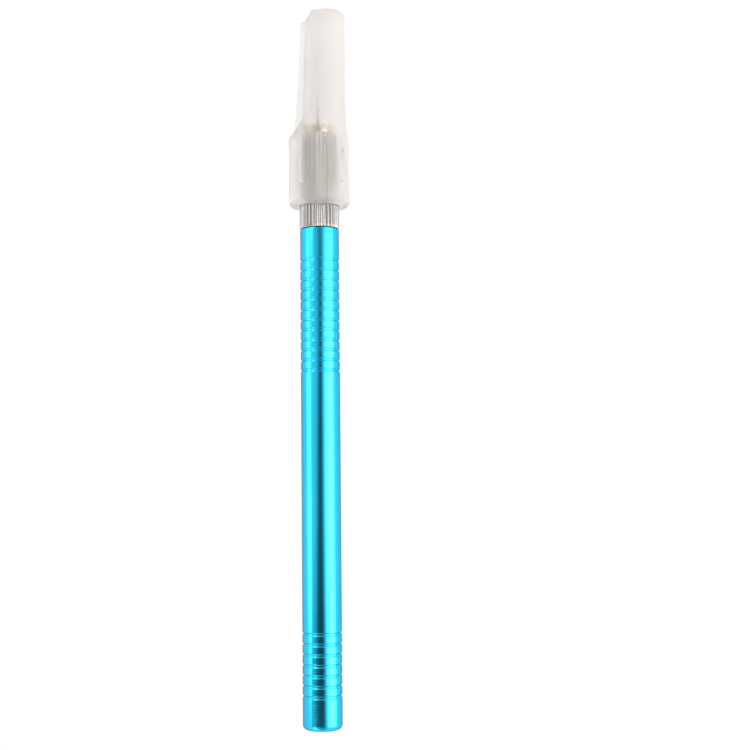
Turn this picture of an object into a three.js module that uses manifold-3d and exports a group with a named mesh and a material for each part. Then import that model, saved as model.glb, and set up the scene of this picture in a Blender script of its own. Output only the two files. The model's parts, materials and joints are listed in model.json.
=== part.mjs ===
// Hobby craft knife with a grooved metal handle, a knurled chuck collar, a split collet,
// a fine-point blade and a push-on plastic safety cap. It lies on its side with the cap on.
//
// Each piece is drawn along the knife's own axis: +Y runs from the tail end to the tip,
// +Z points up and +X to the right as seen from above with the tip away from the viewer.
// A "station" is a distance along +Y from the tail end. All lengths are millimetres.

import * as THREE from 'three';
import { mergeVertices } from 'three/addons/utils/BufferGeometryUtils.js';
import Module from 'manifold-3d';

const wasm = await Module();
wasm.setup();

// ---------------------------------------------------------------- driving dimensions

const HANDLE = {
  radius: 4.0,
  length: 101.0,
  tailRound: 1.0,
  frontChamfer: 0.15,
  boreRadius: 2.65,
  boreDepth: 32.0,
  drillPoint: 1.5,
};
const GROOVE = { width: 0.75, floor: 0.35, depth: 0.22, pitch: 2.06 };
const FRONT_GROOVES = { count: 12, last: 94.5 };
const TAIL_GROOVES = { count: 7, last: 19.0 };

const COLLAR = {
  start: 101.1,
  nose: 120.4,
  crestRadius: 4.1,
  rootRadius: 3.86,
  ridges: 32,
  chamfer: 0.25,
  boreRadius: 2.95,
  mouthRadius: 3.25,
  keyWall: 3.5,
};

const COLLET = {
  tail: 73.2,
  shoulder: 105.6,
  stemEnd: 107.4,
  jawStart: 107.5,
  coneStart: 115.5,
  tip: 122.4,
  stemRadius: 2.5,
  flatsFrom: 99.2,
  flatsHalfWidth: 2.05,
  tailChamfer: 0.4,
  jawRadius: 2.8,
  headRadius: 3.1,
  tipChamfer: 0.35,
  boreRadius: 0.9,
  slit: 0.7,
  jaws: 4,
  runningGap: 0.1,
};

const BLADE = {
  thickness: 0.5,
  shankEnd: 107.5,
  shankLength: 12.5,
  shankHalfWidth: 2.78,
  cornerRound: 0.5,
  backHalfWidth: 3.66,
  backStart: 121.4,
  backEnd: 141.3,
  heel: 124.8,
  heelHalfWidth: 4.08,
  tip: 144.7,
  tipBack: 2.24,
  bevelWidth: 1.35,
  slotCentre: 114.0,
  slotHalfWidth: 1.32,
  slotLength: 5.9,
};

const CAP = {
  mouth: 105.85,
  shoulder: 119.3,
  top: 146.4,
  mouthRadius: 6.31,
  shoulderRadius: 6.18,
  mouthRound: 1.0,
  shoulderRound: 1.6,
  boreRadius: 4.25,
  leadIn: 0.25,
  boreEnd: 120.9,
  cavityTop: 145.6,
  topRound: 0.5,
};
// The cap's nose is an oval tube with a flat fin down its left side.
const NOSE = {
  base: 118.7,
  right: 5.55,
  rightFlare: 1.4,
  crease: 2.45,
  creaseTaper: 0.02,
  creaseFlare: 5.2,
  depth: 4.9,
  depthTaper: 0.02,
  depthFlare: 0.3,
  power: 2.6,
  flareLength: 2.0,
  stations: 12,
};
const CAVITY = { sideWall: 1.2, depthWall: 0.9, left: 1.45, leftFlare: 9.7, power: 4 };
const FIN = { top: 144.4, left: 3.5, taper: 0.0545, flare: 0.4, halfThickness: 2.2 };
const FIN_CHAMFER = { left: 2.9, rise: 1.75 };
const POCKET = {
  width: 2.35, depth: 0.85, floor: 110.0, top: 121.2, leftAngle: -31, rightAngle: 44,
};

// Turned pieces have facets, and the 18 degrees of each facet are enough to stop the knife rolling.
const TURNED_SEGMENTS = 20;
const ARC_STEPS = 4;
const OVERRUN = 1.0;

// The cap's mouth and the tail end touch the surface, which tilts the axis by this angle.
const LIE_ANGLE = Math.asin(
  (CAP.mouthRadius - HANDLE.radius) / (CAP.mouth + CAP.mouthRound - HANDLE.tailRound));

// ---------------------------------------------------------------- materials

function finish(colour, roughness, metalness) {
  return new THREE.MeshStandardMaterial({ color: colour, roughness, metalness });
}
const anodised = finish('#1fb2dc', 0.22, 0.9);
const nickel = finish('#b9b4ae', 0.3, 1.0);
const brass = finish('#c9a860', 0.35, 1.0);
const bladeSteel = finish('#b4b6b8', 0.4, 1.0);
const milkyPlastic = finish('#eceae6', 0.45, 0.0);

// ---------------------------------------------------------------- solids and meshes

function solid(geometry) {
  const bare = geometry.clone();
  bare.deleteAttribute('normal');
  bare.deleteAttribute('uv');
  const merged = mergeVertices(bare, 1e-5);
  return new wasm.Manifold(new wasm.Mesh({
    numProp: 3,
    vertProperties: new Float32Array(merged.attributes.position.array),
    triVerts: new Uint32Array(merged.index.array),
  }));
}

function namedMesh(name, body, material) {
  const result = body.getMesh();
  const geometry = new THREE.BufferGeometry();
  geometry.setAttribute('position', new THREE.BufferAttribute(result.vertProperties, 3));
  geometry.setIndex(new THREE.BufferAttribute(result.triVerts, 1));
  geometry.computeVertexNormals();
  const mesh = new THREE.Mesh(geometry, material);
  mesh.name = name;
  return mesh;
}

// A turned solid: the profile is a list of [radius, station] pairs from tail to tip that
// starts and ends on the axis. Its facets touch the true circle from outside, and half a
// facet of turn lays one of them on the surface below.
function turnedGeometry(profile, segments = TURNED_SEGMENTS) {
  const halfFacet = Math.PI / segments;
  const points = profile.map(([radius, station]) => (
    new THREE.Vector2(radius / Math.cos(halfFacet), station)));
  return new THREE.LatheGeometry(points, segments, halfFacet);
}
const turned = (profile, segments) => solid(turnedGeometry(profile, segments));

const disc = (radius, from, to) => turned(
  [[0, from], [radius, from], [radius, to], [0, to]]);

function box(from, to) {
  const low = new THREE.Vector3(...from);
  const high = new THREE.Vector3(...to);
  const size = high.clone().sub(low);
  const centre = low.add(high).multiplyScalar(0.5);
  const geometry = new THREE.BoxGeometry(size.x, size.y, size.z);
  return solid(geometry.translate(centre.x, centre.y, centre.z));
}

// Profile points of a quarter circle from one [radius, station] corner to the next.
function arc(centreRadius, centreStation, radius, fromAngle, toAngle) {
  return Array.from({ length: ARC_STEPS + 1 }, (_, step) => {
    const angle = fromAngle + (toAngle - fromAngle) * step / ARC_STEPS;
    return [centreRadius + radius * Math.cos(angle), centreStation + radius * Math.sin(angle)];
  });
}

// ---------------------------------------------------------------- handle

function grooveRow({ count, last }) {
  const points = [];
  for (let index = 0; index < count; index += 1) {
    const centre = last - (count - 1 - index) * GROOVE.pitch;
    points.push(
      [HANDLE.radius, centre - GROOVE.width / 2],
      [HANDLE.radius - GROOVE.depth, centre - GROOVE.floor / 2],
      [HANDLE.radius - GROOVE.depth, centre + GROOVE.floor / 2],
      [HANDLE.radius, centre + GROOVE.width / 2]);
  }
  return points;
}

function handleBarrel() {
  const { radius, length, tailRound, frontChamfer, boreRadius } = HANDLE;
  const boreFloor = length - HANDLE.boreDepth;
  return turned([
    [0, 0],
    ...arc(radius - tailRound, tailRound, tailRound, -Math.PI / 2, 0),
    ...grooveRow(TAIL_GROOVES),
    ...grooveRow(FRONT_GROOVES),
    [radius, length - frontChamfer],
    [radius - frontChamfer, length],
    [boreRadius, length],
    [boreRadius, boreFloor],
    [0, boreFloor - HANDLE.drillPoint],
  ]);
}

// ---------------------------------------------------------------- knurled collar

// A round bar with two flats, which keys the collet to the collar.
function flattedBar(radius, halfWidth, from, to) {
  return disc(radius, from, to).intersect(
    box([-halfWidth, from - OVERRUN, -radius], [halfWidth, to + OVERRUN, radius]));
}

function knurledBar() {
  const { crestRadius, rootRadius, ridges, start, nose } = COLLAR;
  const outline = new THREE.Shape();
  const levels = [rootRadius, crestRadius, crestRadius, rootRadius];
  for (let point = 0; point < ridges * levels.length; point += 1) {
    const angle = 2 * Math.PI * (point + 0.5) / (ridges * levels.length);
    const radius = levels[point % levels.length];
    const place = [radius * Math.sin(angle), radius * Math.cos(angle)];
    if (point === 0) outline.moveTo(...place);
    else outline.lineTo(...place);
  }
  outline.closePath();
  const depth = nose - start;
  const bar = new THREE.ExtrudeGeometry(outline, { depth, bevelEnabled: false });
  return solid(bar.rotateX(-Math.PI / 2).translate(0, start, 0));
}

function knurledCollar() {
  const { start, nose, crestRadius, chamfer, boreRadius, mouthRadius, keyWall } = COLLAR;
  const envelope = turned([
    [0, start],
    [crestRadius - chamfer, start],
    [crestRadius, start + chamfer],
    [crestRadius, nose - chamfer],
    [crestRadius - chamfer, nose],
    [0, nose],
  ], COLLAR.ridges);
  const bore = turned([
    [0, start + keyWall],
    [boreRadius, start + keyWall],
    [boreRadius, COLLET.coneStart],
    [mouthRadius, nose],
    [mouthRadius, nose + OVERRUN],
    [0, nose + OVERRUN],
  ]);
  const keyHole = flattedBar(
    COLLET.stemRadius + COLLET.runningGap, COLLET.flatsHalfWidth + COLLET.runningGap,
    start - OVERRUN, start + keyWall + OVERRUN / 2);
  return knurledBar().intersect(envelope).subtract(bore).subtract(keyHole);
}

// ---------------------------------------------------------------- collet

function colletStem() {
  const { tail, tailChamfer, flatsFrom, shoulder, stemEnd, stemRadius, jawRadius } = COLLET;
  const screw = turned([
    [0, tail],
    [stemRadius - tailChamfer, tail],
    [stemRadius, tail + tailChamfer],
    [stemRadius, flatsFrom],
    [0, flatsFrom],
  ]);
  const flats = flattedBar(stemRadius, COLLET.flatsHalfWidth, flatsFrom, shoulder);
  return screw.add(flats).add(disc(jawRadius, shoulder, stemEnd));
}

// One of the four spring fingers, cut from the ring of jaws by its two slits.
function colletJaw(index) {
  const { jawStart, coneStart, tip, jawRadius, headRadius, tipChamfer, boreRadius } = COLLET;
  const ring = turned([
    [0, jawStart],
    [jawRadius, jawStart],
    [jawRadius, coneStart],
    [headRadius, COLLAR.nose],
    [headRadius, tip - tipChamfer],
    [headRadius - tipChamfer, tip],
    [0, tip],
  ]).subtract(disc(boreRadius, jawStart - OVERRUN, tip + OVERRUN));
  const reach = headRadius + OVERRUN;
  const halfSlit = COLLET.slit / 2;
  const quadrant = box(
    [halfSlit, jawStart - OVERRUN, halfSlit], [reach, tip + OVERRUN, reach]);
  const turn = index * 360 / COLLET.jaws;
  return ring.intersect(quadrant.rotate([0, turn, 0]));
}

// ---------------------------------------------------------------- blade

// The blade stands on edge: its outline is drawn with +Z towards the cutting edge.
function bladeOutline() {
  const { shankEnd, shankHalfWidth, cornerRound, backHalfWidth, heelHalfWidth } = BLADE;
  const shankTop = shankEnd + BLADE.shankLength;
  const outline = new THREE.Shape();
  outline.moveTo(shankEnd + cornerRound, -shankHalfWidth);
  outline.lineTo(shankTop, -shankHalfWidth);
  outline.lineTo(BLADE.backStart, -backHalfWidth);
  outline.lineTo(BLADE.backEnd, -backHalfWidth);
  outline.lineTo(BLADE.tip, -BLADE.tipBack);
  outline.lineTo(BLADE.heel, heelHalfWidth);
  outline.lineTo(shankTop, shankHalfWidth);
  outline.lineTo(shankEnd + cornerRound, shankHalfWidth);
  outline.quadraticCurveTo(shankEnd, shankHalfWidth, shankEnd, shankHalfWidth - cornerRound);
  outline.lineTo(shankEnd, -shankHalfWidth + cornerRound);
  outline.quadraticCurveTo(
    shankEnd, -shankHalfWidth, shankEnd + cornerRound, -shankHalfWidth);
  const slot = new THREE.Path();
  const reach = BLADE.slotLength / 2 - BLADE.slotHalfWidth;
  slot.absarc(BLADE.slotCentre + reach, 0, BLADE.slotHalfWidth, -Math.PI / 2, Math.PI / 2);
  slot.absarc(BLADE.slotCentre - reach, 0, BLADE.slotHalfWidth, Math.PI / 2, 1.5 * Math.PI);
  outline.holes.push(slot);
  return outline;
}

// A long wedge whose sloping face is the bevel ground on one side of the cutting edge.
function bevelCutter(side) {
  const heel = new THREE.Vector2(BLADE.heel, BLADE.heelHalfWidth);
  const tip = new THREE.Vector2(BLADE.tip, -BLADE.tipBack);
  const along = tip.clone().sub(heel);
  const length = along.length() + 2 * OVERRUN;
  const halfThickness = BLADE.thickness / 2;
  const section = new THREE.Shape();
  section.moveTo(-BLADE.bevelWidth, halfThickness);
  section.lineTo(0, 0);
  section.lineTo(OVERRUN, 0);
  section.lineTo(OVERRUN, OVERRUN);
  section.lineTo(-BLADE.bevelWidth, OVERRUN);
  section.closePath();
  const wedge = new THREE.ExtrudeGeometry(section, { depth: length, bevelEnabled: false });
  const basis = new THREE.Matrix4().makeBasis(
    new THREE.Vector3(0, -along.y, along.x).normalize(),
    new THREE.Vector3(1, 0, 0),
    new THREE.Vector3(0, along.x, along.y).normalize());
  wedge.translate(0, 0, -OVERRUN).applyMatrix4(basis).translate(0, heel.x, heel.y);
  const cutter = solid(wedge);
  return side > 0 ? cutter : cutter.mirror([1, 0, 0]);
}

function blade() {
  const options = { depth: BLADE.thickness, bevelEnabled: false, curveSegments: 8 };
  const plate = new THREE.ExtrudeGeometry(bladeOutline(), options);
  plate.translate(0, 0, -BLADE.thickness / 2);
  plate.applyMatrix4(new THREE.Matrix4().makeBasis(
    new THREE.Vector3(0, 1, 0), new THREE.Vector3(0, 0, 1), new THREE.Vector3(1, 0, 0)));
  return solid(plate).subtract(bevelCutter(1)).subtract(bevelCutter(-1));
}

// ---------------------------------------------------------------- safety cap

const flare = (station) => Math.exp((CAP.shoulder - station) / NOSE.flareLength);
const noseRight = (station) => NOSE.right + NOSE.rightFlare * flare(station);
const noseCrease = (station) => NOSE.crease
  + NOSE.creaseTaper * (CAP.top - station) + NOSE.creaseFlare * flare(station);
const noseDepth = (station) => NOSE.depth
  + NOSE.depthTaper * (CAP.top - station) + NOSE.depthFlare * flare(station);
const finLeft = (station) => FIN.left
  + FIN.taper * (FIN.top - station) + FIN.flare * Math.sqrt(flare(station));
const cavityLeft = (station) => CAVITY.left + CAVITY.leftFlare * flare(station);
// The cavity starts round, like the bore below it, and turns squarer towards the top.
const cavityPower = (station) => CAVITY.power - 2 * Math.min(1, flare(station));

// Squashes a turned form of unit radius into ovals whose edges follow the given functions.
function ovalForm(stations, { left, right, depth, power }, endRound = 0) {
  const profile = [[0, stations[0]], ...stations.map((station) => [1, station])];
  profile.push([1 - endRound, stations.at(-1)], [0, stations.at(-1)]);
  if (endRound > 0) profile[profile.length - 3][1] -= endRound * depth(stations.at(-1));
  const geometry = turnedGeometry(profile);
  const position = geometry.attributes.position;
  for (let index = 0; index < position.count; index += 1) {
    const [x, station, z] = [position.getX(index), position.getY(index), position.getZ(index)];
    const fraction = Math.hypot(x, z);
    const angle = Math.atan2(z, x);
    const stretch = (value) => (
      Math.sign(value) * Math.abs(value) ** (2 / power(station)) * fraction);
    const centre = (right(station) - left(station)) / 2;
    const halfWidth = (right(station) + left(station)) / 2;
    position.setX(index, centre + halfWidth * stretch(Math.cos(angle)));
    position.setZ(index, depth(station) * stretch(Math.sin(angle)));
  }
  return solid(geometry);
}

// Stations that crowd together near the flared base of the nose.
function flaredStations(base, top) {
  return Array.from({ length: NOSE.stations + 1 }, (_, step) => (
    base + (top - base) * (step / NOSE.stations) ** 2));
}

function capSkirt() {
  const { mouth, shoulder, mouthRadius, shoulderRadius, mouthRound, shoulderRound } = CAP;
  return turned([
    [0, mouth],
    ...arc(mouthRadius - mouthRound, mouth + mouthRound, mouthRound, -Math.PI / 2, 0),
    ...arc(shoulderRadius - shoulderRound, shoulder, shoulderRound, 0, Math.PI / 2),
    [0, shoulder + shoulderRound],
  ]);
}

function capFin() {
  const outline = new THREE.Shape();
  const { left, rise } = FIN_CHAMFER;
  outline.moveTo(0, NOSE.base);
  flaredStations(CAP.shoulder, FIN.top).forEach((station) => {
    outline.lineTo(-finLeft(station), station);
  });
  outline.lineTo(-left, FIN.top);
  outline.lineTo(rise - left, FIN.top + rise);
  outline.lineTo(0, FIN.top + rise);
  outline.closePath();
  const plate = new THREE.ExtrudeGeometry(
    outline, { depth: 2 * FIN.halfThickness, bevelEnabled: false });
  return solid(plate.translate(0, 0, -FIN.halfThickness));
}

// The corner sliced off the top left of the nose, level with the top of the fin.
function cornerCutter() {
  const outline = new THREE.Shape();
  const far = FIN_CHAMFER.left + FIN_CHAMFER.rise + OVERRUN;
  outline.moveTo(-FIN_CHAMFER.left, FIN.top);
  outline.lineTo(far - FIN_CHAMFER.left, FIN.top + far);
  outline.lineTo(-far, FIN.top + far);
  outline.lineTo(-far, FIN.top);
  outline.closePath();
  const cutter = new THREE.ExtrudeGeometry(outline, { depth: 4 * NOSE.depth, bevelEnabled: false });
  return solid(cutter.translate(0, 0, -2 * NOSE.depth));
}

// A grip pocket: round at its lower end, running out at the shoulder.
function gripPocket(angle) {
  const half = POCKET.width / 2;
  const outline = new THREE.Shape();
  outline.absarc(0, POCKET.floor + half, half, Math.PI, 2 * Math.PI);
  outline.lineTo(half, POCKET.top);
  outline.lineTo(-half, POCKET.top);
  outline.closePath();
  const options = { depth: 2 * OVERRUN, bevelEnabled: false, curveSegments: 6 };
  const cutter = new THREE.ExtrudeGeometry(outline, options);
  cutter.translate(0, 0, CAP.shoulderRadius - POCKET.depth);
  return solid(cutter.rotateY(THREE.MathUtils.degToRad(angle)));
}

function capCavity() {
  const { mouth, boreRadius, leadIn, boreEnd, cavityTop } = CAP;
  const bore = turned([
    [0, mouth - OVERRUN],
    [boreRadius + leadIn + OVERRUN, mouth - OVERRUN],
    [boreRadius, mouth + leadIn],
    [boreRadius, boreEnd],
    [boreRadius - OVERRUN, boreEnd + OVERRUN],
    [0, boreEnd + OVERRUN],
  ]);
  const inside = ovalForm(flaredStations(boreEnd - OVERRUN, cavityTop), {
    left: (station) => Math.min(cavityLeft(station), boreRadius),
    right: (station) => Math.min(noseRight(station) - CAVITY.sideWall, boreRadius),
    depth: (station) => noseDepth(station) - CAVITY.depthWall,
    power: cavityPower,
  });
  return bore.add(inside);
}

function safetyCap() {
  const nose = ovalForm(flaredStations(NOSE.base, CAP.top), {
    left: noseCrease, right: noseRight, depth: noseDepth, power: () => NOSE.power,
  }, CAP.topRound / NOSE.depth);
  const room = disc(CAP.shoulderRadius, NOSE.base - OVERRUN, CAP.top + OVERRUN);
  let cap = capSkirt().add(nose.add(capFin()).intersect(room)).subtract(cornerCutter());
  for (const angle of [POCKET.leftAngle, POCKET.rightAngle]) {
    cap = cap.subtract(gripPocket(angle)).subtract(gripPocket(180 - angle));
  }
  return cap.subtract(capCavity());
}

// ---------------------------------------------------------------- assembly

const axisGroup = new THREE.Group();
axisGroup.add(namedMesh('handle_barrel', handleBarrel(), anodised));
axisGroup.add(namedMesh('knurled_collar', knurledCollar(), nickel));
axisGroup.add(namedMesh('collet_stem', colletStem(), brass));
for (let index = 0; index < COLLET.jaws; index += 1) {
  axisGroup.add(namedMesh(`collet_jaw_${index + 1}`, colletJaw(index), brass));
}
axisGroup.add(namedMesh('blade', blade(), bladeSteel));
axisGroup.add(namedMesh('safety_cap', safetyCap(), milkyPlastic));

// Lay the knife down: the tip points along +X and the axis rises by LIE_ANGLE.
const lying = new THREE.Group();
axisGroup.rotation.x = LIE_ANGLE;
lying.rotation.z = -Math.PI / 2;
lying.add(axisGroup);

// The origin is the centre of the bounding box's underside.
const knife = new THREE.Group();
knife.add(lying);
knife.updateMatrixWorld(true);
const bounds = new THREE.Box3().setFromObject(knife, true);
const centre = bounds.getCenter(new THREE.Vector3());
knife.position.set(-centre.x, -centre.y, -bounds.min.z);

export default knife;
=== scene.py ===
# A hobby craft knife with its safety cap on, lying on a pale studio floor.
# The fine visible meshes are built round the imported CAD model, which gives the knife's axis and
# where each piece starts and ends along it.
import json
import math

import bmesh
import bpy
import numpy as np
from mathutils import Matrix, Vector
from mathutils.geometry import tessellate_polygon

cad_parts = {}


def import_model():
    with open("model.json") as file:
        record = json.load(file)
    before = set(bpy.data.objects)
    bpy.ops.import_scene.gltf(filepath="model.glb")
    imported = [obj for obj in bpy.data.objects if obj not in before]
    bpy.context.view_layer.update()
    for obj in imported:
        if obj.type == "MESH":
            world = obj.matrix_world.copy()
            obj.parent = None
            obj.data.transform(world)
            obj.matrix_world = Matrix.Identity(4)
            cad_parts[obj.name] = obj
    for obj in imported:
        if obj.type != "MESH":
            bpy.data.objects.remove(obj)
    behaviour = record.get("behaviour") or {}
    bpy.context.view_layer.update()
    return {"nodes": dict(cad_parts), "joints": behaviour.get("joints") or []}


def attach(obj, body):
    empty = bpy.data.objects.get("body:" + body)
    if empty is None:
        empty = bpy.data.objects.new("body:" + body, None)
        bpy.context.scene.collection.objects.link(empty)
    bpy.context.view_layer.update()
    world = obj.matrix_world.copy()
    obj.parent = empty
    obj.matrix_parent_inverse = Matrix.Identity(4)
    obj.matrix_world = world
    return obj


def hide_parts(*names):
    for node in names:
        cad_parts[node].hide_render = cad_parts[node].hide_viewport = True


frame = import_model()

MM = 0.001

# ---------------------------------------------------------------- the knife's own frame
# A place on the knife is (right, station, up) in millimetres: the station runs along the
# axis from the tail end to the tip, and right and up are as seen from above.

JOINTS = {joint["name"]: joint for joint in frame["joints"]}
PIVOT = Vector(JOINTS["collar_turn"]["pos_m"])
AXIS = Vector(JOINTS["collar_turn"]["axis"]).normalized()
RIGHT = Vector((0, -1, 0))
UP = RIGHT.cross(AXIS)
BASIS = np.array([RIGHT, AXIS, UP])


def stations(node, origin):
    """The first and last station of a CAD node."""
    along = [(vertex.co - origin).dot(AXIS) / MM for vertex in frame["nodes"][node].data.vertices]
    return min(along), max(along)


TAIL = PIVOT + AXIS * stations("handle_barrel", PIVOT)[0] * MM
HANDLE_END = stations("handle_barrel", TAIL)[1]
COLLAR_START, COLLAR_NOSE = stations("knurled_collar", TAIL)
STEM_START, STEM_END = stations("collet_stem", TAIL)
JAW_START, JAW_END = stations("collet_jaw_1", TAIL)
BLADE_START, BLADE_TIP = stations("blade", TAIL)
CAP_MOUTH, CAP_TOP = stations("safety_cap", TAIL)


def world(points):
    """Points in the knife's frame as points in the row frame, in metres."""
    return np.array(TAIL) + np.asarray(points, float) @ BASIS * MM


# ---------------------------------------------------------------- driving sizes, in mm

EDGE_BREAK = 0.1
SHORT_STEP = 0.02
# Keeps a division away from zero and, as a share of a spacing, a station from being made twice.
TINY = 1e-4

HANDLE_RADIUS = 4.0
HANDLE_COLUMNS = 160
TAIL_ROUND = 1.0
TAIL_LOOPS = dict(inner_radius=0.5, outer_gap=0.05)
ROUND_STEPS = dict(tail=12, front=4, jaw=5)
FRONT_CHAMFER = 0.15
HANDLE_BORE = dict(radius=2.65, depth=32.0, point=1.5)
GROOVE = dict(half_width=0.34, depth=0.16, pitch=2.06, wall=0.55, points=17)
EDGE_LOOP = 0.12
FRONT_GROOVES = dict(count=12, last=94.5)
TAIL_GROOVES = dict(count=7, last=19.0)

KNURL = dict(crest=4.1, root=3.92, steepness=1.2, ridges=32, chamfer=0.28)
KNURL_COLUMNS = 12
KNURL_ROWS = 12
CHAMFER_SHARES = (0.35, 0.7, 1.0)
COLLAR_BORE = dict(radius=2.95, mouth=3.25, key_wall=3.5, step=0.2)

STEM_RADIUS = 2.5
STEM_CHAMFER = 0.4
STEM_END_LOOP = 0.3
STEM_COLUMNS = 64
THREAD = dict(pitch=0.5, depth=0.26, run_out=97.0, steepness=1.2, rows=8)
FLATS = dict(start=99.2, half_width=2.05)
SHOULDER = dict(start=105.6, radius=2.8, round=0.12, end_loop=1.0)
JAW = dict(radius=2.8, head=3.1, cone_start=115.5, bore=0.9, half_slit=0.35, chamfer=0.35,
           bore_break=0.15, steps=14)
JAWS = 4
CONE_SHARES = (0, 0.33, 0.67, 1)
RUNNING_GAP = 0.1

BLADE = dict(
    half_thickness=0.25, shank_length=12.5, shank_half_width=2.78, corner=0.5,
    back_half_width=3.66, back_start=121.4, back_end=141.3, heel=124.8,
    heel_half_width=4.08, tip_back=2.24, bevel=1.35)
SLOT = dict(centre=114.0, half_width=1.32, length=5.9)
CORNER_STEPS = 6
SLOT_STEPS = 20

SKIRT = dict(radius=6.31, mouth_round=1.0, top_radius=6.18, top=119.3, top_round=1.6)
CAP_BORE = dict(radius=4.25, lead_in=0.25, end=120.9)
NOSE = dict(
    right=5.55, right_flare=1.4, crease=2.45, crease_flare=5.2, depth=4.9,
    depth_flare=0.3, taper=0.02, power=2.6, flare_length=2.0, top_round=0.5)
FIN = dict(top=144.4, left=3.5, taper=0.0545, flare=0.4, half_thickness=2.2, squareness=9)
FIN_CHAMFER = dict(reach=2.9, least=0.4)
NOSE_ROOT = 1.5
FILLET = dict(fin=0.9, shoulder=0.3, skirt=0.35, chamfer=0.12, cavity=0.3)
CAVITY = dict(top=145.6, side_wall=1.2, depth_wall=0.9, left=1.45, left_flare=10.8, power=4)
POCKET = dict(start=110.0, run_out=5.5, floor=5.33, edge=0.28, least_slope=0.3)
LEFT_POCKET = dict(end=124.0, centre=-3.1, half_width=1.05, inner_edge=0.5, facing=-31)
RIGHT_POCKET = dict(end=120.3, centre=4.37, half_width=0.83, inner_edge=0.28, facing=46)
CAP_COLUMNS = 320
# Where the spacing of the cap's rows changes: they are closest where its shape changes fastest.
CAP_ROWS = dict(rim=0.04, mouth=1.0, pocket_lead=0.3, pocket_foot=112.0, shoulder=2.0,
                nose_root=128.0, fin_lead=0.1, fin_edge=0.12, cavity_root=126.0)
UNCUT = 100.0
END_LOOPS = (0.25, 0.5, 0.75, 0.92)
END_ANGLES = (0, 15, 30, 45, 60, 75)
OVAL_SEARCH = dict(limit=12.0, halvings=40)

# ---------------------------------------------------------------- mesh building


def arc(centre, radius, start, end, steps):
    """Points (radius, station) round a corner, between two angles in degrees."""
    turn = np.radians(np.linspace(start, end, steps + 1))
    return [(centre[0] + radius * math.cos(t), centre[1] + radius * math.sin(t)) for t in turn]


def directions(columns):
    """The right and up parts of unit directions round the axis."""
    turn = np.arange(columns) * 2 * math.pi / columns
    return np.sin(turn), np.cos(turn)


def closed_skin(rings, first, last):
    """A closed surface through rings of points, with a single point at each end."""
    count, columns = len(rings), len(rings[0])
    points = np.vstack([[first], *rings, [last]])
    end = len(points) - 1
    faces = []
    for column in range(columns):
        beside = (column + 1) % columns
        faces.append((0, 1 + beside, 1 + column))
        for ring in range(count - 1):
            low, high = 1 + ring * columns, 1 + (ring + 1) * columns
            faces.append((low + column, low + beside, high + beside, high + column))
        top = 1 + (count - 1) * columns
        faces.append((top + column, top + beside, end))
    return points, faces


def radial_skin(rows, columns):
    """A closed surface from rows of (station, radius), with a radius for each direction."""
    right, up = directions(columns)
    rings = []
    for station, radius in rows:
        radius = np.broadcast_to(radius, (columns,))
        rings.append(np.column_stack([radius * right, np.full(columns, station), radius * up]))
    ends = [(0, rows[0][0], 0), (0, rows[-1][0], 0)]
    return closed_skin(rings, *ends)


def add_piece(name, skin, materials, body, replaced, crease=35, finishes=None):
    """Adds a piece that rides on a body and stands for a CAD node; crease is in degrees."""
    points, faces = skin
    mesh = bpy.data.meshes.new(name)
    mesh.from_pydata(world(points).tolist(), [], faces)
    for material in materials:
        mesh.materials.append(material)
    if finishes:
        mesh.polygons.foreach_set("material_index", finishes)
    outward = bmesh.new()
    outward.from_mesh(mesh)
    bmesh.ops.recalc_face_normals(outward, faces=outward.faces)
    outward.to_mesh(mesh)
    outward.free()
    mesh.shade_smooth()
    mesh.set_sharp_from_angle(angle=math.radians(crease))
    piece = bpy.data.objects.new(name, mesh)
    bpy.context.scene.collection.objects.link(piece)
    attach(piece, body)
    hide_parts(replaced)
    return piece


def smooth_step(value):
    """A ramp from 0 to 1 with level ends."""
    value = np.clip(value, 0, 1)
    return value * value * (3 - 2 * value)


def smooth_max(a, b, fillet):
    """The larger of two radii, with a fillet where they meet."""
    near = np.maximum(fillet - np.abs(a - b), 0) / fillet
    return np.maximum(a, b) + near * near * fillet / 4


def smooth_min(a, b, fillet):
    """The smaller of two radii, with a fillet where they meet."""
    return -smooth_max(-a, -b, fillet)


# ---------------------------------------------------------------- handle


def groove_row(count, last):
    """Turned grooves with a flat floor and softly rounded walls, and a plain rim on each side."""
    inner = np.linspace(-1, 1, GROOVE["points"])
    across = np.concatenate([[-1 - EDGE_LOOP], inner, [1 + EDGE_LOOP]])
    points = []
    for index in range(count):
        centre = last - (count - 1 - index) * GROOVE["pitch"]
        for offset in across:
            floor = smooth_step((1 - abs(offset)) / GROOVE["wall"])
            points.append((HANDLE_RADIUS - GROOVE["depth"] * floor,
                           centre + offset * GROOVE["half_width"]))
    return points


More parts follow.
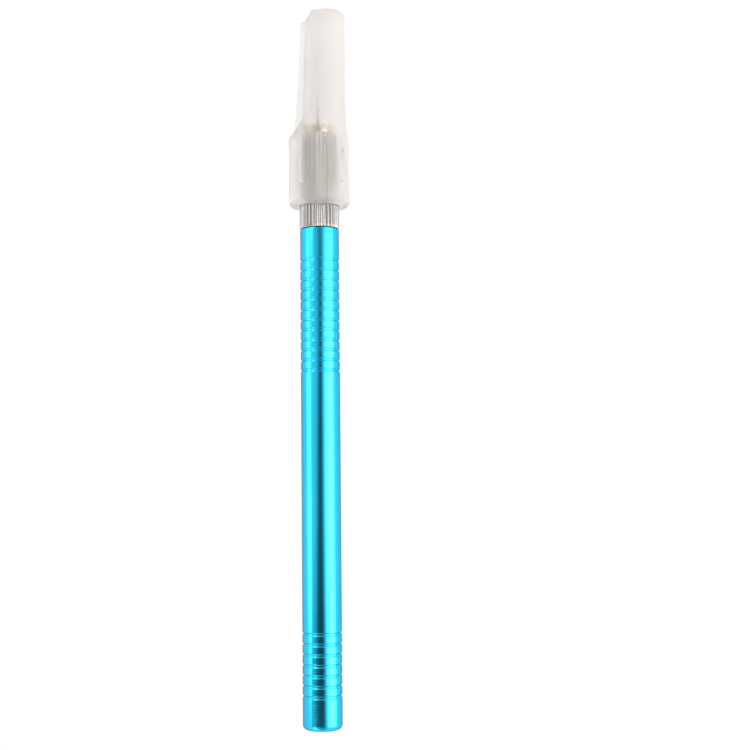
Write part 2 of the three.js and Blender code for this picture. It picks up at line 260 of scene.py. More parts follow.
def handle():
    """The turned bar: rounded tail, two rows of grooves, softened front edge and blind bore."""
    bore_floor = HANDLE_END - HANDLE_BORE["depth"]
    bore = HANDLE_BORE["radius"]
    front_edge = HANDLE_END - FRONT_CHAMFER
    front = [(HANDLE_RADIUS, front_edge - EDGE_LOOP)]
    front += arc((HANDLE_RADIUS - FRONT_CHAMFER, front_edge), FRONT_CHAMFER, 0, 90,
                 ROUND_STEPS["front"])
    profile = [(TAIL_LOOPS["inner_radius"], 0),
               (HANDLE_RADIUS - TAIL_ROUND - TAIL_LOOPS["outer_gap"], 0)]
    profile += arc((HANDLE_RADIUS - TAIL_ROUND, TAIL_ROUND), TAIL_ROUND, -90, 0,
                   ROUND_STEPS["tail"])
    profile.append((HANDLE_RADIUS, TAIL_ROUND + EDGE_LOOP))
    profile += groove_row(**TAIL_GROOVES) + groove_row(**FRONT_GROOVES) + front
    profile += [(bore + EDGE_BREAK, HANDLE_END), (bore, HANDLE_END - EDGE_BREAK),
                (bore, bore_floor)]
    rows = [(station, radius) for radius, station in profile]
    points, faces = radial_skin(rows, HANDLE_COLUMNS)
    points[-1][1] = bore_floor - HANDLE_BORE["point"]
    return points, faces


# ---------------------------------------------------------------- knurled collar


def keyed_radius(radius, half_width, columns):
    """The outline of a round hole or bar with two flats."""
    right, _ = directions(columns)
    return np.minimum(radius, half_width / np.maximum(np.abs(right), TINY))


def collar():
    """The knurled sleeve: a keyed wall at its foot, then the bore that holds the fingers."""
    columns = KNURL["ridges"] * KNURL_COLUMNS
    wave = np.arange(columns) * KNURL["ridges"] / columns % 1
    crest = smooth_step(KNURL["steepness"] * (1 - np.abs(2 * wave - 1)))
    knurl = KNURL["root"] + (KNURL["crest"] - KNURL["root"]) * crest
    chamfer = KNURL["chamfer"]
    inner_end = KNURL["crest"] - chamfer
    key_end = COLLAR_START + COLLAR_BORE["key_wall"]
    keyed = keyed_radius(STEM_RADIUS + RUNNING_GAP, FLATS["half_width"] + RUNNING_GAP, columns)
    bore, mouth = COLLAR_BORE["radius"], COLLAR_BORE["mouth"]
    rows = [(key_end, keyed), (COLLAR_START + EDGE_BREAK, keyed),
            (COLLAR_START, keyed + EDGE_BREAK), (COLLAR_START, np.minimum(knurl, inner_end))]
    for share in CHAMFER_SHARES:
        rows.append((COLLAR_START + chamfer * share,
                     np.minimum(knurl, inner_end + chamfer * math.sqrt(share))))
    middle = np.linspace(COLLAR_START + 2 * chamfer, COLLAR_NOSE - 2 * chamfer, KNURL_ROWS)
    rows += [(station, knurl) for station in middle]
    for share in reversed(CHAMFER_SHARES):
        rows.append((COLLAR_NOSE - chamfer * share,
                     np.minimum(knurl, inner_end + chamfer * math.sqrt(share))))
    rows += [(COLLAR_NOSE, np.minimum(knurl, inner_end)), (COLLAR_NOSE, mouth + EDGE_BREAK),
             (COLLAR_NOSE - EDGE_BREAK, mouth), (JAW["cone_start"], bore),
             (key_end + COLLAR_BORE["step"], bore)]
    return ring_skin(rows, columns)


def ring_skin(rows, columns):
    """A ring-shaped surface: the last row joins the first one."""
    right, up = directions(columns)
    rings = [np.column_stack([np.broadcast_to(radius, (columns,)) * right,
                              np.full(columns, station),
                              np.broadcast_to(radius, (columns,)) * up])
             for station, radius in rows]
    faces = []
    for ring in range(len(rows)):
        low, high = ring * columns, (ring + 1) % len(rows) * columns
        for column in range(columns):
            beside = (column + 1) % columns
            faces.append((low + column, low + beside, high + beside, high + column))
    return np.vstack(rings), faces


# ---------------------------------------------------------------- collet


def collet_body():
    """The screwed tail, the two flats that key it to the collar and its shoulder."""
    columns = STEM_COLUMNS
    turn = np.arange(columns) / columns
    pitch, depth = THREAD["pitch"], THREAD["depth"]
    rows = [(STEM_START, STEM_RADIUS - STEM_CHAMFER - STEM_END_LOOP)]
    for station in np.arange(STEM_START, THREAD["run_out"] + pitch, pitch / THREAD["rows"]):
        tooth = np.abs(2 * ((station / pitch - turn) % 1) - 1)
        fade = smooth_step((THREAD["run_out"] - station) / pitch)
        radius = STEM_RADIUS - depth * fade * smooth_step(THREAD["steepness"] * tooth)
        chamfer = STEM_RADIUS - STEM_CHAMFER + (station - STEM_START)
        rows.append((station, np.minimum(radius, chamfer)))
    flats = keyed_radius(STEM_RADIUS, FLATS["half_width"], columns)
    start, radius, edge = SHOULDER["start"], SHOULDER["radius"], SHOULDER["round"]
    rows += [(FLATS["start"], STEM_RADIUS), (FLATS["start"] + SHORT_STEP, flats), (start, flats),
             (start + SHORT_STEP, radius - edge), (start + edge, radius),
             (STEM_END - edge, radius), (STEM_END, radius - edge),
             (STEM_END, radius - SHOULDER["end_loop"])]
    return radial_skin(rows, columns)


def collet_finger(index):
    """A quarter of the slit head: its two slit faces are flat."""
    steps = JAW["steps"]
    start, end = JAW_START, JAW_END
    bore, radius, head, edge = JAW["bore"], JAW["radius"], JAW["head"], JAW["chamfer"]
    nose = COLLAR_NOSE
    cone = [(radius + (head - radius) * share, JAW["cone_start"] + (nose - JAW["cone_start"]) * share)
            for share in CONE_SHARES]
    profile = [(bore, start), (radius - EDGE_BREAK, start), (radius, start + EDGE_BREAK), *cone]
    profile += [(head, end - edge)] + arc((head - edge, end - edge), edge, 15, 90,
                                      ROUND_STEPS["jaw"])
    profile += [(bore + JAW["bore_break"], end), (bore, end - JAW["bore_break"])]
    points = []
    for station_radius, station in profile:
        half = math.asin(JAW["half_slit"] / station_radius)
        for share in np.linspace(0, 1, steps + 1):
            turn = half + (math.pi / 2 - 2 * half) * share + index * math.pi / 2
            points.append((station_radius * math.sin(turn), station, station_radius * math.cos(turn)))
    wide = steps + 1
    faces = []
    for row in range(len(profile)):
        low, high = row * wide, (row + 1) % len(profile) * wide
        faces += [(low + i, low + i + 1, high + i + 1, high + i) for i in range(steps)]
    faces.append([row * wide for row in range(len(profile))])
    faces.append([row * wide + steps for row in reversed(range(len(profile)))])
    return np.array(points), faces


# ---------------------------------------------------------------- blade


def line_crossing(a, b, c, d):
    """Where the line a-b meets the line c-d."""
    a, b, c, d = (np.array(p, float) for p in (a, b, c, d))
    along, across = b - a, d - c
    share = np.cross(c - a, across) / np.cross(along, across)
    return tuple(a + along * share)


def slot_outline():
    """The lengthwise slot in the shank, as (station, height) points."""
    reach = SLOT["length"] / 2 - SLOT["half_width"]
    points = []
    for side, start in ((1, -90), (-1, 90)):
        turn = np.radians(np.linspace(start, start + 180, SLOT_STEPS + 1))
        points += [(SLOT["centre"] + side * reach + SLOT["half_width"] * math.cos(t),
                    SLOT["half_width"] * math.sin(t)) for t in turn]
    return points


def blade():
    """The flat body, its slot and the two bevels, with the cutting edge upwards."""
    shank, back, corner = BLADE["shank_half_width"], BLADE["back_half_width"], BLADE["corner"]
    shank_top = BLADE_START + BLADE["shank_length"]
    heel, tip = (BLADE["heel"], BLADE["heel_half_width"]), (BLADE_TIP, -BLADE["tip_back"])
    edge = np.array(tip) - np.array(heel)
    inward = np.array([edge[1], -edge[0]]) / np.linalg.norm(edge) * BLADE["bevel"]
    ground = (np.array(heel) + inward, np.array(tip) + inward)
    heel_inner = line_crossing((shank_top, shank), heel, *ground)
    tip_inner = line_crossing((BLADE["back_end"], -back), tip, *ground)
    body = [(BLADE_START + corner - radius, -shank + corner - station) for radius, station in
            arc((0, 0), corner, 0, 90, CORNER_STEPS)]
    body += [(shank_top, -shank), (BLADE["back_start"], -back), (BLADE["back_end"], -back),
             tip_inner, heel_inner, (shank_top, shank)]
    body += [(BLADE_START + corner - radius, shank - corner + station) for radius, station in
             arc((0, 0), corner, 90, 0, CORNER_STEPS)]
    tip_index = body.index(tip_inner)
    slot = slot_outline()
    outline = body + slot
    half = BLADE["half_thickness"]
    points = [(side * half, station, height) for side in (-1, 1) for station, height in outline]
    points += [(0, *heel), (0, *tip)]
    count = len(outline)
    heel_point, tip_point = 2 * count, 2 * count + 1
    flats = tessellate_polygon([[Vector((*p, 0)) for p in body], [Vector((*p, 0)) for p in slot]])
    faces = [tuple(t) for t in flats] + [tuple(i + count for i in reversed(t)) for t in flats]
    for first, size in ((0, len(body)), (len(body), len(slot))):
        for index in range(size):
            a, b = first + index, first + (index + 1) % size
            if first == 0 and index == tip_index:
                continue
            faces.append((a, b, b + count, a + count))
    inner, outer = tip_index, tip_index + 1
    faces += [(inner, inner + count, tip_point), (outer, heel_point, outer + count)]
    bevels = [(inner, tip_point, heel_point, outer),
              (inner + count, outer + count, heel_point, tip_point)]
    finishes = [0] * len(faces) + [1] * len(bevels)
    return (np.array(points), faces + bevels), finishes


# ---------------------------------------------------------------- safety cap


def oval_radius(right_part, up_part, left, right, depth, power):
    """The distance from the axis to an off-centre oval, in each direction."""
    centre, half_width = (right - left) / 2, (right + left) / 2
    low = np.zeros_like(right_part * left)
    high = np.full_like(low, OVAL_SEARCH["limit"])
    for _ in range(OVAL_SEARCH["halvings"]):
        middle = (low + high) / 2
        inside = (np.abs((middle * right_part - centre) / half_width) ** power
                  + np.abs(middle * up_part / depth) ** power) < 1
        low, high = np.where(inside, middle, low), np.where(inside, high, middle)
    return low


def flare(station):
    """How strongly the nose widens towards the skirt's shoulder, dying away along the nose."""
    return np.exp((SKIRT["top"] - station) / NOSE["flare_length"])


def nose_shape(station):
    """The reach of the nose's oval to the left, to the right and in depth."""
    from_top = CAP_TOP - station
    return dict(left=NOSE["crease"] + NOSE["taper"] * from_top + NOSE["crease_flare"] * flare(station),
                right=NOSE["right"] + NOSE["right_flare"] * flare(station),
                depth=NOSE["depth"] + NOSE["taper"] * from_top + NOSE["depth_flare"] * flare(station))


def skirt_radius(station):
    """The turned outside of the skirt, from its mouth to where its shoulder ends."""
    mouth_round, top_round = SKIRT["mouth_round"], SKIRT["top_round"]
    share = (station - CAP_MOUTH) / (SKIRT["top"] - CAP_MOUTH)
    radius = SKIRT["radius"] + (SKIRT["top_radius"] - SKIRT["radius"]) * np.clip(share, 0, 1)
    low = np.clip((CAP_MOUTH + mouth_round - station) / mouth_round, 0, 1)
    radius = radius - mouth_round * (1 - np.sqrt(1 - low * low))
    high = np.clip((station - SKIRT["top"]) / top_round, 0, 1)
    radius = radius - top_round * (1 - np.sqrt(1 - high * high))
    return np.where(station > SKIRT["top"] + top_round, 0.0, radius)


def fin_radius(station, right_part, up_part):
    """The flat fin on the left of the nose, with a squarish outline."""
    left = FIN["left"] + FIN["taper"] * (FIN["top"] - station)
    left = left + FIN["flare"] * np.sqrt(flare(station))
    square = FIN["squareness"]
    sideways = np.maximum(-right_part, TINY)
    radius = ((sideways / left) ** square
              + (np.abs(up_part) / FIN["half_thickness"]) ** square) ** (-1 / square)
    return np.where(right_part < 0, radius, 0.0)


def cap_outside(station, right_part, up_part):
    """Skirt, nose and fin, with the pockets pressed in and the fin's top corner cut off."""
    nose = oval_radius(right_part, up_part, **nose_shape(station), power=NOSE["power"])
    fin = fin_radius(station, right_part, up_part)
    upper = smooth_max(nose, fin, FILLET["fin"])
    upper = smooth_min(upper, SKIRT["top_radius"], FILLET["shoulder"])
    radius = np.where(station > SKIRT["top"] - NOSE_ROOT, upper, 0.0)
    radius = smooth_max(radius, skirt_radius(station), FILLET["skirt"])
    radius = np.minimum(radius, SKIRT["radius"])
    for pocket in (LEFT_POCKET, RIGHT_POCKET):
        radius = sink_pocket(radius, station, right_part, up_part, **pocket)
    above_fin = FIN_CHAMFER["reach"] + FIN["top"] - station
    reach = np.where(station > FIN["top"], above_fin, UNCUT)
    sliced = np.maximum(reach / np.maximum(-right_part, TINY), FIN_CHAMFER["least"])
    return np.where(right_part < 0, smooth_min(radius, sliced, FILLET["chamfer"]), radius)


def sink_pocket(radius, station, right_part, up_part,
                end, centre, half_width, inner_edge, facing):
    """Presses a flat-floored grip pocket into the top and the underside of the skirt."""
    sideways = radius * right_part - centre
    below = np.maximum(POCKET["start"] + half_width - station, 0)
    edge = np.where(sideways * centre < 0, inner_edge, POCKET["edge"])
    inside = (half_width - np.hypot(sideways, below)) / edge + 0.5
    depth = smooth_step(inside) * smooth_step((end - station) / POCKET["run_out"])
    facing = math.radians(facing)
    towards = right_part * math.sin(facing) + np.abs(up_part) * math.cos(facing)
    floor = POCKET["floor"] / np.maximum(towards, POCKET["least_slope"])
    return radius - np.maximum(radius - floor, 0) * depth


def cap_inside(station, right_part, up_part):
    """The turned bore of the skirt, narrowing into the nose's oval cavity."""
    bore = CAP_BORE["radius"]
    outer = nose_shape(station)
    power = CAVITY["power"] - 2 * np.minimum(1, flare(station))
    cavity = oval_radius(
        right_part, up_part,
        left=np.minimum(CAVITY["left"] + CAVITY["left_flare"] * flare(station), bore),
        right=np.minimum(outer["right"] - CAVITY["side_wall"], bore),
        depth=outer["depth"] - CAVITY["depth_wall"], power=power)
    turned = bore - np.clip(station - CAP_BORE["end"], 0, bore)
    return np.minimum(smooth_max(cavity, turned, FILLET["cavity"]), bore)


def stretches(*spans):
    """Stations along several stretches, each with its own spacing, and none of them twice."""
    parts = [np.arange(start, end - TINY * spacing, spacing) for start, end, spacing in spans]
    return np.concatenate([*parts, [spans[-1][1]]])


def cap():
    """One closed skin: down the inside, round the mouth and up the outside."""
    columns = CAP_COLUMNS
    right_part, up_part = directions(columns)
    edge = NOSE["top_round"]
    rim, mouth = CAP_MOUTH + CAP_ROWS["rim"], CAP_MOUTH + CAP_ROWS["mouth"]
    pocket, pocket_foot = POCKET["start"] - CAP_ROWS["pocket_lead"], CAP_ROWS["pocket_foot"]
    shoulder, nose_root = SKIRT["top"] + CAP_ROWS["shoulder"], CAP_ROWS["nose_root"]
    fin_lead, fin_edge = FIN["top"] - CAP_ROWS["fin_lead"], FIN["top"] + CAP_ROWS["fin_edge"]
    cavity_root = CAP_ROWS["cavity_root"]
    outside_stations = stretches(
        (CAP_MOUTH, rim, 0.01), (rim, mouth, 0.1), (mouth, pocket, 0.5),
        (pocket, pocket_foot, 0.1), (pocket_foot, SKIRT["top"], 0.4),
        (SKIRT["top"], shoulder, 0.06), (shoulder, nose_root, 0.2), (nose_root, fin_lead, 0.5),
        (fin_lead, fin_edge, 0.03), (fin_edge, CAP_TOP - edge, 0.1))
    grid = outside_stations[:, None]
    outside = cap_outside(grid, right_part[None], up_part[None])
    inside_stations = stretches(
        (CAP_MOUTH + CAP_BORE["lead_in"], CAP_BORE["end"], 0.8),
        (CAP_BORE["end"], cavity_root, 0.12), (cavity_root, CAVITY["top"] - edge, 0.6))[::-1]
    inside = cap_inside(inside_stations[:, None], right_part[None], up_part[None])
    rows = end_rows(CAVITY["top"], inside[0], edge)
    rows += list(zip(inside_stations, inside))
    rows.append((CAP_MOUTH, CAP_BORE["radius"] + CAP_BORE["lead_in"]))
    rows += list(zip(outside_stations, outside))
    last = end_rows(CAP_TOP, outside[-1], edge)
    rows += last[::-1]
    return radial_skin(rows, columns)


def end_rows(top, radius, edge):
    """Rows from the middle of a flat end out and round its edge."""
    rows = [(top, (radius - edge) * share) for share in END_LOOPS]
    for angle in np.radians(END_ANGLES):
        rows.append((top - edge * (1 - math.cos(angle)), radius - edge * (1 - math.sin(angle))))
    return rows


# ---------------------------------------------------------------- materials


def connect(tree, node, inputs):
    """Gives a node's inputs their values, or links them to other nodes' outputs."""
    for key, value in inputs.items():
        if isinstance(value, bpy.types.NodeSocket):
            tree.links.new(value, node.inputs[key])
        else:
            node.inputs[key].default_value = value


def new_node(tree, kind, inputs=None, **settings):
    node = tree.nodes.new(kind)
    for key, value in settings.items():
        setattr(node, key, value)
    connect(tree, node, inputs or {})
    return node


class Nodes:
    """A small helper around one material's node tree."""

    def __init__(self, name):
        self.material = bpy.data.materials.new(name)
        self.material.use_nodes = True
        self.tree = self.material.node_tree
        self.shader = self.tree.nodes["Principled BSDF"]

    def add(self, kind, inputs=None, **settings):
        return new_node(self.tree, kind, inputs, **settings)

    def shade(self, **inputs):
        """Sets the surface shader's inputs, with an underscore for each space in a name."""
        named = {key.replace("_", " "): value for key, value in inputs.items()}
        connect(self.tree, self.shader, named)

    def coordinates(self, scale):
        """Places in metres, turned so that the first runs along the knife, times a scale."""
        place = self.add("ShaderNodeTexCoord").outputs["Object"]
        tilt = math.atan2(AXIS.z, AXIS.x)
        mapping = self.add("ShaderNodeMapping", {"Vector": place, "Rotation": (0, tilt, 0)})
        return self.add("ShaderNodeVectorMath", {0: mapping.outputs[0], 1: scale},
                        operation="MULTIPLY").outputs[0]

    def noise(self, scale, detail=3.0, stretch=(1, 1, 1)):
        """Noise in cells a metre; stretch is along the knife, across it and up."""
        size = [scale * share for share in stretch]
        return self.add("ShaderNodeTexNoise", {"Vector": self.coordinates(size), "Scale": 1.0,
                                               "Detail": detail}).outputs["Fac"]

    def spread(self, value, low, high, start=0.3, end=0.7):
        """Maps a value from one range onto another."""
        return self.add("ShaderNodeMapRange", {
            "Value": value, "From Min": start, "From Max": end,
            "To Min": low, "To Max": high}).outputs[0]

    def blend(self, share, first, second):
        """Mixes two colours; the colour sockets of the mix node are 6, 7 and, coming out, 2."""
        return self.add("ShaderNodeMix", {0: share, 6: first, 7: second},
                        data_type="RGBA").outputs[2]

    def edges(self, start, end):
        """How exposed an edge is, from the mesh's own curvature."""
        point = self.add("ShaderNodeNewGeometry").outputs["Pointiness"]
        return self.spread(point, 0.0, 1.0, start, end)

    def bump(self, height, strength, distance):
        self.shade(Normal=self.add("ShaderNodeBump", {
            "Height": height, "Strength": strength, "Distance": distance}).outputs[0])


def anodised_aluminium():
    """Bright cyan anodising over fine turning lines, lighter on the sharp edges: partly thinner
    anodising, partly a painted highlight along the groove rims.
    """
    look = Nodes("anodised_aluminium")
    rings = look.noise(1.0, 2.0, (9000, 60, 60))
    cloud = look.noise(90, 4.0)
    tint = look.blend(look.spread(cloud, 0.0, 1.0), (0.030, 0.54, 0.82, 1), (0.036, 0.58, 0.86, 1))
    # Painted highlight: the sharp edges, found from the mesh's curvature, get a lighter tint. This is
    # partly thinner anodising and partly stands in for the light lines along the groove rims.
    worn_and_highlit = look.blend(look.edges(0.54, 0.62), tint, (0.10, 0.66, 0.86, 1))
    look.shade(Base_Color=worn_and_highlit, Metallic=1.0, Specular_Tint=(0.62, 0.42, 0.42, 1),
               Roughness=look.spread(look.noise(1.0, 2.0, (4000, 200, 200)), 0.12, 0.18))
    look.bump(rings, 0.12, 0.00001)
    return look.material


def nickel_steel():
    """Bright rolled steel, darker at the bottom of the knurl: partly dust, partly painted shade."""
    look = Nodes("nickel_steel")
    cloud = look.noise(500, 4.0)
    bright = look.blend(look.spread(cloud, 0.0, 1.0), (0.41, 0.395, 0.377, 1), (0.47, 0.453, 0.433, 1))
    # Painted shade: the knurl's roots, found from the mesh's curvature, are painted dark. This is
    # partly dust and partly the shade that falls between the ridges.
    dust_and_shade = look.blend(look.edges(0.44, 0.52), (0.20, 0.19, 0.18, 1), bright)
    look.shade(Base_Color=dust_and_shade, Metallic=1.0,
               Roughness=look.spread(look.noise(2500, 3.0), 0.09, 0.14))
    look.bump(look.noise(1.0, 2.0, (600, 4000, 4000)), 0.1, 0.00002)
    return look.material


def collet_brass():
    """Turned brass with a faint tarnish."""
    look = Nodes("collet_brass")
    tarnish = look.spread(look.noise(700, 5.0), 0.0, 1.0, 0.4, 0.65)
    tint = look.blend(tarnish, (0.62, 0.52, 0.35, 1), (0.47, 0.38, 0.24, 1))
    look.shade(Base_Color=tint, Metallic=1.0,
               Roughness=look.spread(look.noise(1.0, 2.0, (6000, 300, 300)), 0.32, 0.42))
    look.bump(look.noise(1.0, 2.0, (8000, 90, 90)), 0.15, 0.00001)
    return look.material


def blade_steel():
    """Satin rolled steel, with fine lines along the blade and a few darker stains."""
    look = Nodes("blade_steel")
    stain = look.spread(look.noise(260, 5.0), 0.0, 1.0, 0.5, 0.75)
    tint = look.blend(stain, (0.60, 0.60, 0.61, 1), (0.42, 0.42, 0.43, 1))
    look.shade(Base_Color=tint, Metallic=1.0,
               Roughness=look.spread(look.noise(1.0, 3.0, (120, 6000, 6000)), 0.26, 0.4))
    look.bump(look.noise(1.0, 2.0, (150, 9000, 9000)), 0.12, 0.00001)
    return look.material


def ground_edge():
    """The bevels: brighter, with grinding lines across the blade."""
    look = Nodes("ground_edge")
    look.shade(Base_Color=(0.74, 0.74, 0.75, 1), Metallic=1.0,
               Roughness=look.spread(look.noise(1.0, 2.0, (9000, 200, 600)), 0.16, 0.3))
    look.bump(look.noise(1.0, 1.0, (12000, 200, 800)), 0.2, 0.00001)
    return look.material


# The skirt's thick wall looks greyer than the nose; this is painted shade, a greyer tint standing in
# for the light that the thick wall holds back. The change is over the shoulder, between these two
# places along the knife, in metres.
SKIRT_SHADE_SPAN = (0.050, 0.043)


def milky_plastic():
    """Milky translucent polyethylene with a fine moulded grain, a few flow marks and painted shade on
    the thick skirt.
    """
    look = Nodes("milky_plastic")
    flow = look.spread(look.noise(1.0, 4.0, (120, 420, 420)), 0.0, 1.0)
    thin = look.blend(flow, (0.905, 0.88, 0.86, 1), (0.935, 0.91, 0.89, 1))
    along = look.add("ShaderNodeSeparateXYZ", {0: look.coordinates((1, 1, 1))}).outputs[0]
    # Painted shade: past the shoulder, the skirt gets a greyer tint than the nose.
    tint = look.blend(look.spread(along, 0.0, 1.0, *SKIRT_SHADE_SPAN), thin, (0.888, 0.86, 0.84, 1))
    look.shade(Base_Color=tint, IOR=1.3, Transmission_Weight=0.85,
               Roughness=look.spread(look.noise(1500, 3.0), 0.32, 0.4))
    look.bump(look.noise(3000, 3.0), 0.15, 0.00003)
    return look.material


def pale_floor():
    """A plain floor, nearly white by its own glow so that the picture's ground is even."""
    look = Nodes("pale_floor")
    grain = look.spread(look.noise(40, 2.0), 0.0, 1.0)
    tint = look.blend(grain, (0.07, 0.07, 0.07, 1), (0.08, 0.08, 0.08, 1))
    look.shade(Base_Color=tint, Roughness=0.9, Emission_Color=(1, 1, 1, 1), Emission_Strength=0.94)
    return look.material


# ---------------------------------------------------------------- studio


def studio_floor(half_width=1.5):
    """A plain square floor at height 0; its half width is in metres."""
    mesh = bpy.data.meshes.new("studio_floor")
    corners = [(x * half_width, y * half_width, 0) for x, y in ((-1, -1), (1, -1), (1, 1), (-1, 1))]
    mesh.from_pydata(corners, [], [(0, 1, 2, 3)])
    mesh.materials.append(pale_floor())
    floor = bpy.data.objects.new("studio_floor", mesh)
    bpy.context.scene.collection.objects.link(floor)


# The studio is a world without images, which lights the knife and is mirrored in it. Its
# brightness is given against the angle from straight overhead, in degrees: a soft box on each
# side, and between them a dark ceiling, which gives the handle its dark middle line.
LEFT_WALL = ((0, 0.86), (44, 0.95), (54, 1.15), (60, 2.0), (66, 4.0), (75, 3.8), (83, 2.2), (90, 1.3),
             (98, 0.86), (110, 0.68), (180, 0.6))
RIGHT_WALL = ((0, 0.0), (7, 0.05), (12, 0.3), (18, 0.85), (24, 1.2), (30, 2.0), (36, 3.5), (43, 5.0),
              (52, 6.6), (60, 6.8), (67, 6.2), (73, 5.2), (80, 3.0), (87, 1.5), (96, 0.95),
              (110, 0.8), (180, 0.75))
WALL_PEAK = 6.8
HALF_TURN = 180
CEILING = dict(level=0.15, left_edge=5, slant=85, softness=(28, 15))
# Places along the studio are the X part of a unit direction, from -1 behind the tail to 1. The
# boxes' front end is measured along a tilted line instead, which follows the knife's own tilt.
CEILING_SOFTENS = (0.05, 0.17)
BOX_START = (-0.26, -0.2)
BOX_END = (0.188, 0.196)
BOX_FADE = dict(span=(0.12, 0.19), level=0.62)
LEFT_BOX_START = (-0.23, -0.065)
# The right box turns a few degrees round the knife at its two ends.
RIGHT_BOX_TAIL_TURN = dict(span=(-0.17, -0.07), degrees=-5.0)
RIGHT_BOX_FRONT_TURN = dict(span=(0.12, 0.19), degrees=-8.0)
# Past the boxes' ends is a plain room, brighter towards its sides and most of all on the right
# far ahead, with one strip light on the left.
ROOM = dict(overhead=0.36, sides=1.3, turn=50, right_side=0.6)
FAR_ROOM = (0.2, 0.26)
STRIP_LIGHT = dict(near=1.6, far=3.4, angle=46, half_width=4, fade=8)
# Low on both sides, the room is at least white, and far ahead and far behind it is just white.
HORIZON = (66, 78)
ROOM_ENDS = (0.88, 0.96)


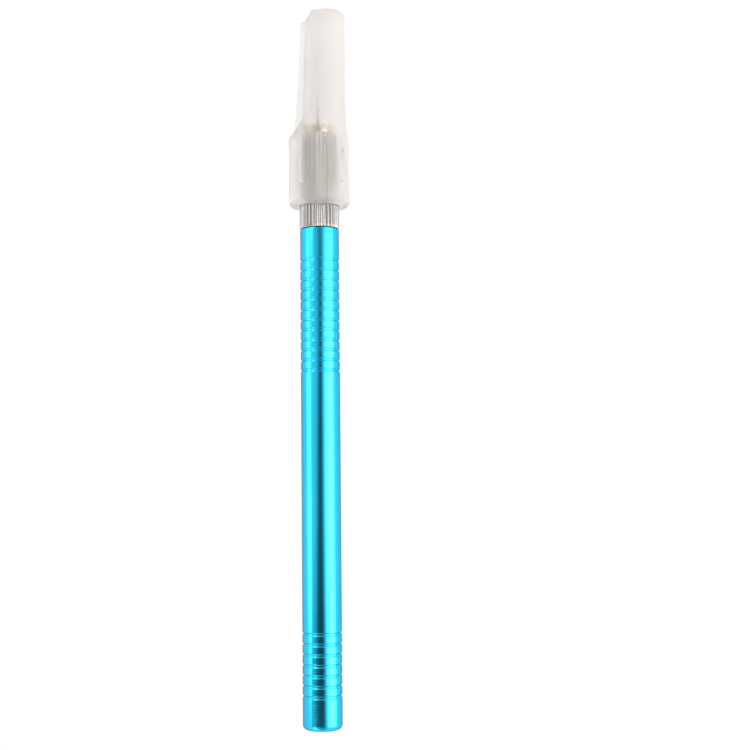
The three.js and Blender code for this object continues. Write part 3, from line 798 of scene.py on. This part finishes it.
def studio_light():
    """Two long soft boxes beside the knife, the right one stronger, and a room past their ends."""
    world = bpy.data.worlds.new("studio")
    bpy.context.scene.world = world
    world.use_nodes = True
    tree = world.node_tree
    background = tree.nodes["Background"]

    def add(kind, inputs=None, **settings):
        return new_node(tree, kind, inputs, **settings).outputs[0]

    def calculate(operation, first, second=0.0, third=0.0):
        return add("ShaderNodeMath", {0: first, 1: second, 2: third}, operation=operation)

    def spread(value, start, end, low, high, kind="LINEAR"):
        return add("ShaderNodeMapRange", {
            "Value": value, "From Min": start, "From Max": end, "To Min": low, "To Max": high},
            interpolation_type=kind)

    def wall(angle, levels):
        stops_node = tree.nodes.new("ShaderNodeValToRGB")
        tree.links.new(calculate("DIVIDE", angle, HALF_TURN), stops_node.inputs[0])
        stops = stops_node.color_ramp.elements
        while len(stops) < len(levels):
            stops.new(0.5)
        for stop, (degrees, level) in zip(stops, levels):
            stop.position = degrees / HALF_TURN
            stop.color = (level / WALL_PEAK,) * 3 + (1,)
        return calculate("MULTIPLY", stops_node.outputs[0], WALL_PEAK)

    direction = tree.nodes.new("ShaderNodeTexCoord").outputs["Generated"]
    separate = tree.nodes.new("ShaderNodeSeparateXYZ")
    tree.links.new(direction, separate.inputs[0])
    along, leftwards, upwards = separate.outputs
    left = calculate("DEGREES", calculate("ARCTAN2", leftwards, upwards))
    tail_turn = spread(along, *RIGHT_BOX_TAIL_TURN["span"], RIGHT_BOX_TAIL_TURN["degrees"], 0.0)
    right = calculate("ADD", calculate("MULTIPLY", left, -1), tail_turn)
    front_turn = spread(along, *RIGHT_BOX_FRONT_TURN["span"], 0.0, RIGHT_BOX_FRONT_TURN["degrees"])
    right = calculate("ADD", right, front_turn)
    edge = calculate("MULTIPLY_ADD", along, -CEILING["slant"], CEILING["left_edge"])
    softness = spread(along, *CEILING_SOFTENS, *CEILING["softness"])
    ceiling = spread(left, edge, calculate("ADD", edge, softness),
                     CEILING["level"], 1.0, "SMOOTHSTEP")
    tail_end = spread(along, *LEFT_BOX_START, 0.0, 1.0)
    left_side = calculate("MULTIPLY", calculate("MULTIPLY", wall(left, LEFT_WALL), ceiling), tail_end)
    boxes = calculate("ADD", left_side, wall(right, RIGHT_WALL))
    fade = spread(along, *BOX_FADE["span"], 1.0, BOX_FADE["level"])
    boxes = calculate("MULTIPLY", boxes, fade)
    # The direction that a turned ring mirrors keeps this sum constant all round the ring.
    around = calculate("MULTIPLY_ADD", upwards, AXIS.z, along)
    beyond = calculate("ADD", spread(around, *BOX_END, 0.0, 1.0, "SMOOTHSTEP"),
                       spread(along, *BOX_START, 1.0, 0.0, "SMOOTHSTEP"))
    room = spread(calculate("ABSOLUTE", left), 0.0, ROOM["turn"], ROOM["overhead"], ROOM["sides"])
    right_side = calculate("MULTIPLY", spread(left, -ROOM["turn"], 0.0, ROOM["right_side"], 0.0),
                           spread(along, *FAR_ROOM, 0.0, 1.0))
    room = calculate("ADD", room, right_side)
    aside = calculate("ABSOLUTE", calculate("SUBTRACT", left, STRIP_LIGHT["angle"]))
    strip_end = STRIP_LIGHT["half_width"] + STRIP_LIGHT["fade"]
    strip = calculate("MULTIPLY", spread(aside, STRIP_LIGHT["half_width"], strip_end, 1.0, 0.0),
                      spread(along, *FAR_ROOM, STRIP_LIGHT["near"], STRIP_LIGHT["far"]))
    room = calculate("ADD", room, strip)
    level = add("ShaderNodeMix", {0: beyond, 2: boxes, 3: room}, data_type="FLOAT")
    horizon = spread(calculate("ABSOLUTE", left), *HORIZON, 0.0, 1.0, "SMOOTHSTEP")
    level = calculate("MAXIMUM", level, horizon)
    ends = spread(calculate("ABSOLUTE", along), *ROOM_ENDS, 0.0, 1.0, "SMOOTHSTEP")
    level = add("ShaderNodeMix", {0: ends, 2: level, 3: 1.0}, data_type="FLOAT")
    background.inputs["Color"].default_value = (1, 1, 1, 1)
    tree.links.new(level, background.inputs["Strength"])


# The camera looks down on the knife from above the middle of the handle, a little to its right.
# Lean and roll are in degrees, and its place is in the knife's frame.
CAMERA = dict(right=11.15, station=48.1, height=269.0, lean=4.85, roll=0.59, lens=63.4)


def camera():
    data = bpy.data.cameras.new("camera")
    data.lens = CAMERA["lens"]
    data.sensor_width = 36.0
    data.clip_start, data.clip_end = 0.01, 10.0
    eye = bpy.data.objects.new("camera", data)
    bpy.context.scene.collection.objects.link(eye)
    lean, roll = math.radians(CAMERA["lean"]), math.radians(CAMERA["roll"])
    forward = AXIS * math.sin(lean) - UP * math.cos(lean)
    level = Matrix.Rotation(roll, 3, forward) @ RIGHT
    turn = Matrix((level, level.cross(forward), -forward)).transposed()
    place = Vector(world([CAMERA["right"], CAMERA["station"], CAMERA["height"]]))
    eye.matrix_world = Matrix.Translation(place) @ turn.to_4x4()
    bpy.context.scene.camera = eye


# ---------------------------------------------------------------- assembly


def build():
    brass = collet_brass()
    add_piece("turned_handle", handle(), [anodised_aluminium()], "handle",
              "handle_barrel")
    add_piece("knurled_sleeve", collar(), [nickel_steel()], "collar",
              "knurled_collar", crease=50)
    add_piece("collet_body", collet_body(), [brass], "collet", "collet_stem")
    for index in range(JAWS):
        add_piece(f"collet_finger_{index + 1}", collet_finger(index), [brass],
                  f"jaw_{index + 1}", f"collet_jaw_{index + 1}")
    shape, finishes = blade()
    add_piece("ground_blade", shape, [blade_steel(), ground_edge()], "collet",
              "blade", crease=20, finishes=finishes)
    add_piece("moulded_cap", cap(), [milky_plastic()], "cap", "safety_cap")


build()
studio_floor()
studio_light()
camera()
bpy.context.scene.view_settings.view_transform = "Standard"
